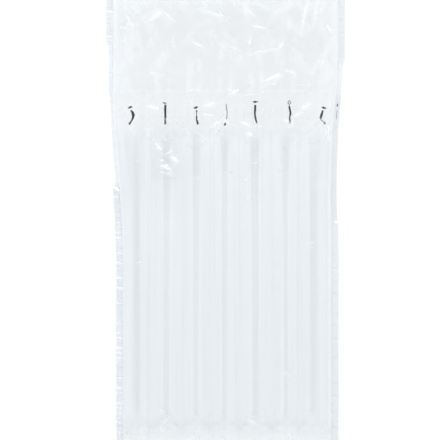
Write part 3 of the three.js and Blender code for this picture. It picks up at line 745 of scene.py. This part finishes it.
# Flap round the mouth
# Above the channel both panels go on as limp, flat film, welded to each other at the sides only. It has
# been folded and pressed in the carton, so it is full of creases.
FLAP_FOLDS = [
    (37.0, 340.3, 53.9, 346.9, 2.6), (34.0, 337.5, 50.0, 338.5, 1.4), (18.3, 364.7, 55.8, 372.2, 1.5),
    (69.8, 384.4, 77.3, 417.2, 1.9), (81.0, 387.0, 85.8, 419.0, 1.5), (-94.2, 406.0, -84.8, 389.0, 1.6),
    (-70.8, 396.6, -58.6, 406.0, 1.8), (-58.6, 406.0, -46.4, 394.7, 1.5), (-33.3, 377.8, -19.2, 371.3, 1.5),
    (-0.5, 375.9, 13.6, 368.4, 1.5), (13.6, 411.6, 28.6, 400.3, 1.6), (23.0, 392.8, 37.0, 389.0, 1.4),
    (93.3, 394.7, 99.8, 383.4, 1.5), (-27.7, 407.8, 0.5, 400.3, 1.5), (-100.8, 392.8, -88.6, 388.1, 1.4),
    (55.0, 352.0, 66.0, 347.0, 1.6), (86.0, 361.0, 90.0, 356.0, 1.4), (-72.0, 350.0, -61.0, 345.0, 1.5),
]
FLAP_ROW_STEP = 0.8
FLAP_POINTS = 281
STIFF_EDGE = 12.0
EDGE_LIMP = 0.25
FLAP_FOOT_LIMP = 0.1
FLAP_CLING = 0.12

flap_heights = np.hstack([rows(FLAP_FOOT, LENGTH, FLAP_ROW_STEP), LENGTH])[:, None]
flap_sides = side_line(flap_heights)
flap_x = np.linspace(-1, 1, FLAP_POINTS)[None, :] * flap_sides
flap_v = np.broadcast_to(flap_heights, flap_x.shape)
flap_lying = lie(flap_x, flap_v)
# The flap's folds lift the film. Their milky marks are partly real whitening and partly painted highlight.
flap_folds, flap_milk_and_highlight = fold_lift(flap_lying, flap_v, FLAP_FOLDS)
flap_front = front_middle(flap_x, flap_v) + flap_folds
flap_back = back_middle(flap_x, flap_v)
side_middle = (front_middle(flap_sides, flap_heights) + back_middle(flap_sides, flap_heights)) / 2
flap_front[:, [0, -1]] = side_middle
flap_back[:, [0, -1]] = side_middle


def round_flap(front, back):
    """Rings round the flap: the front film from left to right, and the back film without its ends."""
    return np.concatenate([front, back[:, -2:0:-1]], axis=1)


flap_ring = round_flap(film_grid(flap_lying, flap_v, flap_front), film_grid(flap_lying, flap_v, flap_back))
# The flap is stiffer close to the side welds and at its foot. A little above the channel its films still
# cling, and further up they lie loose.
flap_limp = EDGE_LIMP + (1 - EDGE_LIMP) * ease(np.abs(side_line(flap_v) - np.abs(flap_x)), 0.0, STIFF_EDGE)
flap_limp *= ease(flap_v, FLAP_FOOT, FLAP_FOOT + 4) * (1 - FLAP_FOOT_LIMP) + FLAP_FOOT_LIMP
flap_cling = FLAP_CLING * (0.5 + 0.5 * ease(flap_v, BAND_TOP + 8, BAND_TOP + 22))
flap_cling *= 1 - ease(flap_v, BAND_TOP + 25, BAND_TOP + 62)
flap = mesh_object("mouth_flap", flap_ring.reshape(-1, 3), ring_faces(*flap_ring.shape[:2]),
                   round_flap(flap_limp, flap_limp), round_flap(flap_cling, flap_cling),
                   round_flap(flap_milk_and_highlight, 0 * flap_milk_and_highlight))
flap_film = film_material(
    "flap_film", tint=(0.962, 0.972, 0.979), reflectance=0.085, haze=0.006, milk_and_highlight_strength=0.40,
    crinkle_size=(0.015, 0.0095, 0.0013), crinkle_slope=0.12, roughness=0.05,
)
run_tree(flap, creases, Crease_Height=0.0020, Crease_Size=0.021, Wrinkle_Height=0.00008, Wrinkle_Size=0.008,
         Seed=5.3, Material=flap_film)
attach(flap, "root")
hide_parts("column_bag")

# Side welds
# All four films are pressed together by a hot, ribbed jaw up both sides of the bag. The weld puckers into
# a ladder of short wrinkles, and is turned under beside the neck.
SIDE_WELD = 6.5
WELD_THICKNESS = 0.25
TURN_LENGTH = 8.0
LEFT_TURN = (-61.0, 82.0)
RIGHT_TURN = (-94.0, 64.0)
TURN_ON_FLAP = 0.85
LEFT_TURN_ANGLE = 1.15
RIGHT_TURN_ANGLE = 0.6
LEFT_TILT = 0.48
RIGHT_TILT = 0.3
PUCKER_PITCH = 5.4
DRIFT_SCALE = 90.0
LEFT_PUCKERS = 0.07
RIGHT_PUCKERS = 0.05
WELD_ROW_STEP = 0.7
WELD_POINTS = 10
WELD_CLING = 0.15
TURNED_RIBS = 0.8
# Short creases of the left weld: where it starts to turn under, and where the jaw nicked it. They don't
# lift the weld; they are only milky lines, partly real whitening and partly a painted highlight.
LEFT_NICK_HIGHLIGHTS = [
    (-106.5, 242.8, -98.0, 237.4, 2.8), (-103.0, 202.5, -96.5, 202.2, 1.2),
    (-102.5, 221.0, -99.0, 221.0, 0.9), (-102.5, 164.0, -98.0, 164.2, 0.9),
]

puckers, given, result = new_group("weld_puckers", "GeometryNodeTree", [
    ("Weld", "INPUT", "Geometry", None),
    ("Pitch", "INPUT", "Float", 0.005),
    ("Height", "INPUT", "Float", 0.0005),
    ("Unevenness", "INPUT", "Float", 0.002),
    ("Seed", "INPUT", "Float", 0.0),
    ("Material", "INPUT", "Material", None),
    ("Weld", "OUTPUT", "Geometry", None),
])
position = add_node(puckers, "GeometryNodeInputPosition").outputs["Position"]
along = add_node(puckers, "ShaderNodeSeparateXYZ", position)
drift = add_node(puckers, "ShaderNodeTexNoise", position, noise_dimensions="4D", W=given.outputs["Seed"],
                 Scale=DRIFT_SCALE).outputs["Fac"]
shifted = math_node(puckers, "MULTIPLY_ADD", drift, given.outputs["Unevenness"], along.outputs["Y"])
turn = math_node(puckers, "MULTIPLY", math_node(puckers, "DIVIDE", shifted, given.outputs["Pitch"]), math.pi)
wave = math_node(puckers, "ABSOLUTE", math_node(puckers, "SINE", turn))
uneven = math_node(puckers, "MULTIPLY", wave, math_node(puckers, "MULTIPLY", drift, 2.0))
pucker = math_node(puckers, "MULTIPLY", math_node(puckers, "MULTIPLY", uneven, given.outputs["Height"]),
                   named_value(puckers, "limp"))
lift_off(puckers, given.outputs["Weld"], pucker, given, result)

ribbed_film = film_material(
    "ribbed_weld", tint=(0.892, 0.914, 0.936), reflectance=0.07, haze=0.01, milk_and_highlight_strength=0.90,
    crinkle_size=(0.008, 0.004, 0.0010), crinkle_slope=0.08, roughness=0.12, rib_pitch=0.0047,
)
faint_film = film_material(
    "faintly_ribbed_weld", tint=(0.903, 0.921, 0.939), reflectance=0.07, haze=0.05, milk_and_highlight_strength=0.12,
    crinkle_size=(0.008, 0.004, 0.0010), crinkle_slope=0.08, roughness=0.14, rib_pitch=0.0060,
)
weld_heights = np.hstack([rows(0, LENGTH, WELD_ROW_STEP), LENGTH])[:, None]


def weld_turn(v, start, end):
    over = v - VALVE_LINE
    return ease(over, start, start + TURN_LENGTH) * (1 - ease(over, end - TURN_LENGTH, end))


def side_weld(name, hand, turn_range, turn_angle, tilt, pucker_height, film, seed):
    """The weld up one side, with how far it hangs down, and where and how far it is turned under."""
    steps = np.linspace(0, 1, WELD_POINTS)[None, :]
    side = side_line(weld_heights)
    turned = weld_turn(weld_heights, *turn_range)
    body = 1 - ease(weld_heights, VALVE_LINE - 20, VALVE_LINE + 60)
    turn = turn_angle + (TURN_ON_FLAP - turn_angle) * ease(weld_heights, BAND_TOP - 10, BAND_TOP + 20)
    angle = tilt * body * (1 - turned) + turn * turned
    edge = (front_middle(side, weld_heights) + back_middle(side, weld_heights)) / 2
    out = SIDE_WELD * steps * np.cos(angle)
    down = SIDE_WELD * steps * np.sin(angle)
    v = np.broadcast_to(weld_heights, out.shape)
    grid = film_grid(lie(hand * side, weld_heights) + hand * out, v, edge - down)
    if hand < 0:
        grid, steps = grid[:, ::-1], steps[:, ::-1]
    limp = np.broadcast_to(np.sin(np.pi * np.clip(steps, 0.05, 0.95)) ** 0.5, out.shape)
    cling = np.broadcast_to(WELD_CLING * ease(weld_heights, BAND_TOP - 10, BAND_TOP + 25), out.shape)
    nick_milk_and_highlight = fold_lift(grid[..., 0], v, LEFT_NICK_HIGHLIGHTS)[1]
    faces = ring_faces(*grid.shape[:2], closed=False)
    weld = mesh_object(name, grid.reshape(-1, 3), faces, limp, cling, nick_milk_and_highlight)
    ribbed = weld.data.attributes.new("ribbed", "FLOAT", "POINT")
    strength = np.broadcast_to(1 - TURNED_RIBS * turned, out.shape)
    ribbed.data.foreach_set("value", strength.astype(np.float32).ravel())
    run_tree(weld, puckers, Pitch=PUCKER_PITCH * MM, Height=pucker_height * MM, Seed=seed, Material=film)
    thicken = weld.modifiers.new("four_films", "SOLIDIFY")
    thicken.thickness = WELD_THICKNESS * MM
    thicken.offset = 0
    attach(weld, "root")
    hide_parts("column_bag")


side_weld("left_side_weld", hand=-1, turn_range=LEFT_TURN, turn_angle=LEFT_TURN_ANGLE, tilt=LEFT_TILT,
          pucker_height=LEFT_PUCKERS, film=ribbed_film, seed=1.3)
side_weld("right_side_weld", hand=1, turn_range=RIGHT_TURN, turn_angle=RIGHT_TURN_ANGLE, tilt=RIGHT_TILT,
          pucker_height=RIGHT_PUCKERS, film=faint_film, seed=6.1)

# Valve film
# A comb of thinner, softer film inside the front panel: a strip along the channel and a flat tube down
# into each column. The air pushes the tubes shut, and they crumple as it does.
TONGUE_WIDTH = 18.0
TONGUE_LENGTH = 45.0
VALVE_FILM = 0.4
CLEARANCE = 0.3
SECOND_TONGUE_LENGTH = 52.0
SECOND_TONGUE_WIDTH = 27.5
SECOND_TONGUE_SHIFT = -1.5
STRIP_FOOT = VALVE_LINE - 4
STRIP_TOP = BAND_TOP - 1
STRIP_POINTS = 200
STRIP_LIMP = 0.12
STRIP_CLING = 0.95
TONGUE_POINTS = 22
TONGUE_LIMP = 0.1
TONGUE_DRAWN_IN = 0.08
EDGE_FOLDS = 0.3
EDGE_LOOSE = 0.4
# Folds of the second tongue, which has crumpled most.
CRUMPLED_TONGUE = [
    (-74.0, 289.0, -69.0, 284.0, 1.6), (-65.0, 281.0, -58.0, 275.0, 2.4), (-66.0, 286.0, -62.0, 276.0, 1.5),
    (-57.0, 272.0, -50.0, 275.0, 2.2), (-52.0, 270.0, -43.0, 265.0, 3.0), (-48.0, 262.0, -42.0, 268.0, 1.8),
    (-61.0, 262.0, -50.0, 257.0, 3.0), (-58.0, 255.0, -50.0, 253.0, 1.8), (-63.0, 268.0, -56.0, 265.0, 1.7),
    (-60.0, 290.0, -55.0, 283.0, 1.5),
]

valve_level = CLEARANCE + (VALVE_FILM - CHANNEL_HEIGHT) / 2
valve_material = film_material(
    "valve_film", tint=(0.990, 0.993, 0.998), reflectance=0.07, haze=0.0, milk_and_highlight_strength=0.65,
    crinkle_size=(0.007, 0.006, 0.0015), crinkle_slope=0.15, roughness=0.06,
)
strip_heights = np.hstack([rows(STRIP_FOOT, STRIP_TOP, ROW_STEP), STRIP_TOP])[:, None]
strip_x = np.linspace(-1, 1, STRIP_POINTS)[None, :] * outer_seam(strip_heights)
strip_v = np.broadcast_to(strip_heights, strip_x.shape)
strip_points = film_grid(lie(strip_x, strip_v), strip_v, front_middle(strip_x, strip_v) + valve_level)
count = strip_x.size
film_points = [strip_points.reshape(-1, 3)]
film_faces = [ring_faces(*strip_x.shape, closed=False)]
film_limp, film_cling = [np.full(count, STRIP_LIMP)], [np.full(count, STRIP_CLING)]
film_milk_and_highlight = [np.zeros(count)]
for column in range(COLUMN_COUNT):
    crumpled = column == 1
    tongue_foot = VALVE_LINE - (SECOND_TONGUE_LENGTH if crumpled else TONGUE_LENGTH)
    tongue_width = SECOND_TONGUE_WIDTH if crumpled else TONGUE_WIDTH
    tongue_heights = np.hstack([rows(tongue_foot, STRIP_FOOT, ROW_STEP), STRIP_FOOT])[:, None]
    tongue_steps = np.linspace(-1, 1, TONGUE_POINTS)[None, :]
    middle = (column - (COLUMN_COUNT - 1) / 2) * chord(tongue_heights)
    middle += SECOND_TONGUE_SHIFT * ease(tongue_heights, STRIP_FOOT, STRIP_FOOT - 12) if crumpled else 0
    drawn_in = 1 - TONGUE_DRAWN_IN * clamp01((STRIP_FOOT - tongue_heights) / TONGUE_LENGTH)
    tongue_x = middle + tongue_steps * tongue_width / 2 * drawn_in
    tongue_v = np.broadcast_to(tongue_heights, tongue_x.shape)
    tongue_lying = lie(tongue_x, tongue_v)
    # The tongue's folds lift the film. Their milky marks are partly real whitening and partly painted
    # highlight.
    tongue_folds, tongue_milk_and_highlight = fold_lift(tongue_lying, tongue_v, CRUMPLED_TONGUE)
    level = front_middle(tongue_x, tongue_v) + valve_level
    level += tongue_folds * (1 - (1 - EDGE_FOLDS) * tongue_steps**2)
    loose = TONGUE_LIMP + (1 - TONGUE_LIMP) * ease(tongue_v, VALVE_LINE - 8, VALVE_LINE - 25)
    loose *= (1.0 if crumpled else 0.5) * (1 - (1 - EDGE_LOOSE) * tongue_steps**2)
    freed = (0.75 if crumpled else 0.15) * ease(tongue_v, STRIP_FOOT, STRIP_FOOT - 6)
    film_points.append(film_grid(tongue_lying, tongue_v, level).reshape(-1, 3))
    film_faces.append(ring_faces(*tongue_x.shape, closed=False) + count)
    film_limp.append(loose.ravel())
    film_cling.append((STRIP_CLING - freed).ravel())
    film_milk_and_highlight.append(tongue_milk_and_highlight.ravel())
    count += tongue_x.size
valve_piece = mesh_object("valve_film_comb", np.vstack(film_points), np.vstack(film_faces),
                          np.hstack(film_limp), np.hstack(film_cling), np.hstack(film_milk_and_highlight))
run_tree(valve_piece, creases, Crease_Height=0.0013, Crease_Size=0.011, Wrinkle_Height=0.0006,
         Wrinkle_Size=0.005, Seed=2.2, Material=valve_material)
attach(valve_piece, "root")
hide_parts("valve_film")

# Ink bars
# Heat-resistant black ink is printed on the valve film, one bar at the mouth of each column, so that the
# films don't weld together there. The film's creases bend and break the print.
INK_THICKNESS = 0.12
INK_RING = 8
LAST_BAR_LIFT = 0.6
INK_SHADES = [(0.35, (0.010, 0.012, 0.013)), (0.75, (0.030, 0.033, 0.035))]
INK_ROUGHNESS = (0.45, 0.75)
SPECKLES_PER_METRE = 900.0
# Strokes of each bar as points across the bag and up it, with the width of the line there.
BAR_STROKES = [
    [[(-91.4, 315.5, 0.4), (-90.1, 315.9, 1.7), (-88.6, 316.5, 2.0), (-87.2, 317.1, 0.7)],
     [(-88.5, 313.5, 1.4), (-86.8, 311.2, 2.4), (-86.2, 308.9, 2.8), (-86.6, 306.6, 2.0),
      (-87.7, 304.0, 1.3), (-90.2, 300.4, 1.8)]],
    [[(-58.7, 320.7, 0.9), (-56.9, 320.2, 1.3), (-55.2, 319.8, 0.6)],
     [(-56.3, 318.7, 2.2), (-56.4, 313.5, 2.1), (-56.3, 309.0, 1.9), (-56.4, 300.3, 1.6)]],
    [[(-29.9, 315.4, 0.7), (-27.8, 315.9, 2.2), (-25.6, 316.8, 0.6)],
     [(-27.1, 313.4, 1.7), (-27.1, 311.5, 0.8), (-27.1, 309.0, 0.6), (-27.0, 307.4, 1.5),
      (-27.1, 304.8, 1.3), (-26.3, 302.8, 1.8), (-25.9, 300.2, 1.9)]],
    [[(0.8, 319.6, 0.5), (0.7, 316.9, 0.6), (1.5, 312.2, 0.6), (1.4, 308.8, 0.7), (0.8, 304.8, 0.6)],
     [(0.4, 302.1, 0.5), (-0.4, 300.6, 1.9), (-1.0, 299.2, 1.3)]],
    [[(25.1, 321.4, 0.4), (26.6, 321.3, 1.3), (27.6, 321.3, 2.4), (28.6, 321.3, 1.3), (30.6, 321.4, 0.4)],
     [(27.7, 318.4, 1.9), (27.6, 314.1, 1.9), (27.3, 310.9, 1.7), (27.9, 306.2, 1.7), (29.2, 301.5, 1.3)]],
    [[(58.1, 320.7, 0.7), (59.6, 322.6, 0.9), (61.2, 320.7, 0.7), (59.6, 318.7, 0.9), (58.1, 320.7, 0.7)],
     [(59.4, 317.6, 1.5), (60.1, 314.1, 1.8), (60.8, 310.9, 1.8), (59.9, 306.8, 1.3), (60.1, 303.5, 1.7),
      (60.2, 301.0, 1.9)]],
    [[(89.8, 316.5, 0.5), (91.6, 315.9, 2.2), (94.4, 315.2, 0.4)],
     [(91.0, 313.4, 1.5), (89.8, 309.5, 2.3), (88.7, 305.7, 1.9)],
     [(88.7, 305.1, 0.7), (90.5, 303.5, 0.6), (92.6, 302.2, 0.7), (92.9, 301.3, 1.8), (92.7, 300.6, 1.0)]],
    [[(105.3, 320.3, 0.6), (105.1, 318.9, 1.2), (105.0, 317.5, 0.7)],
     [(104.9, 314.0, 0.4), (104.2, 306.0, 0.4)]],
]

ink = bpy.data.materials.new("black_ink")
ink.use_nodes = True
tree = ink.node_tree
place = add_node(tree, "ShaderNodeTexCoord").outputs["Object"]
speckle = add_node(tree, "ShaderNodeTexNoise", place, Scale=SPECKLES_PER_METRE, Detail=3.0).outputs["Fac"]
shade = add_node(tree, "ShaderNodeValToRGB", speckle)
for stop, (position, colour) in zip(shade.color_ramp.elements, INK_SHADES):
    stop.position, stop.color = position, (*colour, 1)
dull = add_node(tree, "ShaderNodeMapRange", speckle, To_Min=INK_ROUGHNESS[0], To_Max=INK_ROUGHNESS[1])
grit = add_node(tree, "ShaderNodeBump", Distance=0.0001, Height=speckle)
shader = tree.nodes["Principled BSDF"]
shader.inputs["Specular IOR Level"].default_value = 0.3
tree.links.new(shade.outputs["Color"], shader.inputs["Base Color"])
tree.links.new(dull.outputs["Result"], shader.inputs["Roughness"])
tree.links.new(grit.outputs["Normal"], shader.inputs["Normal"])

ring_turns = np.linspace(0, -2 * np.pi, INK_RING, endpoint=False)
for number, strokes in enumerate(BAR_STROKES, start=1):
    bar_points, bar_faces = [], []
    for stroke in strokes:
        line = np.array(stroke)
        x, v, width = line.T
        step = np.gradient(line[:, :2], axis=0)
        step /= np.hypot(*step.T)[:, None]
        if number <= COLUMN_COUNT:
            level = front_middle(x, v) + valve_level + VALVE_FILM / 2 + INK_THICKNESS
        else:
            level = (front_middle(side_line(v), v) + back_middle(side_line(v), v)) / 2 + LAST_BAR_LIFT
        sideways = np.cos(ring_turns)[None, :] * width[:, None] / 2
        ring = film_grid(
            x[:, None] + step[:, 1:] * sideways, v[:, None] - step[:, :1] * sideways,
            level[:, None] - np.sin(ring_turns)[None, :] * INK_THICKNESS / 2,
        )
        first = sum(len(points) for points in bar_points)
        count = len(line)
        bar_points.append(ring.reshape(-1, 3))
        bar_faces += (ring_faces(count, INK_RING) + first).tolist()
        bar_faces.append([first + i for i in range(INK_RING)][::-1])
        bar_faces.append([first + (count - 1) * INK_RING + i for i in range(INK_RING)])
    mesh = bpy.data.meshes.new(f"ink_print_{number}")
    mesh.from_pydata((np.vstack(bar_points) * MM).tolist(), [], bar_faces)
    mesh.materials.append(ink)
    bar = bpy.data.objects.new(mesh.name, mesh)
    bpy.context.scene.collection.objects.link(bar)
    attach(bar, "root")
    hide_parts(f"ink_bar_{number}")
